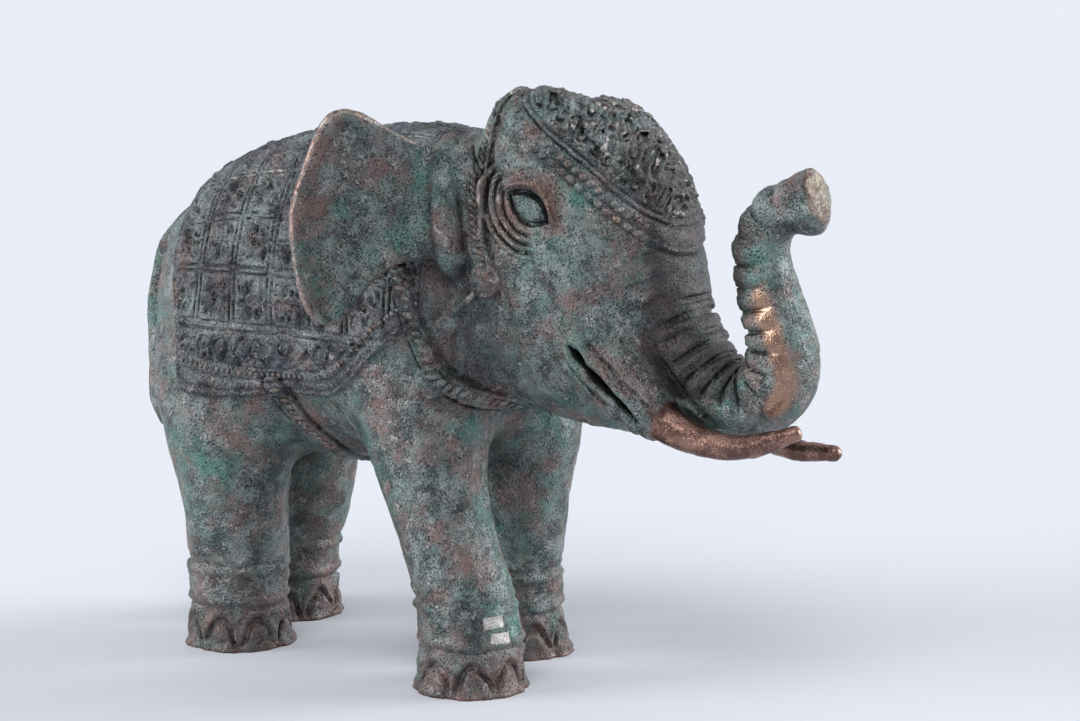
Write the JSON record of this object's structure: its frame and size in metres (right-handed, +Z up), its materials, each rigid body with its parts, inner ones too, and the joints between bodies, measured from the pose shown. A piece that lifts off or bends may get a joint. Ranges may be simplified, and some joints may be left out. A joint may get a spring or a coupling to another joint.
{
  "type": "elephant sculpture",
  "caption": "Cast bronze elephant figure with raised trunk, decorated back cloth and head cap, standing on its own feet as a table ornament.",
  "frame": {"origin": "on the floor, under the middle of the figure's bounding box", "axes": "+Z up, the figure looks along -Y, its left side is +X"},
  "size_m": [0.1124, 0.1992, 0.1498],
  "materials": {
    "patina": "dark green and grey patina on cast bronze, worn to copper brown on edges"
  },
  "bodies": {
    "root": {"elephant": "patina"}
  },
  "joints": []
}
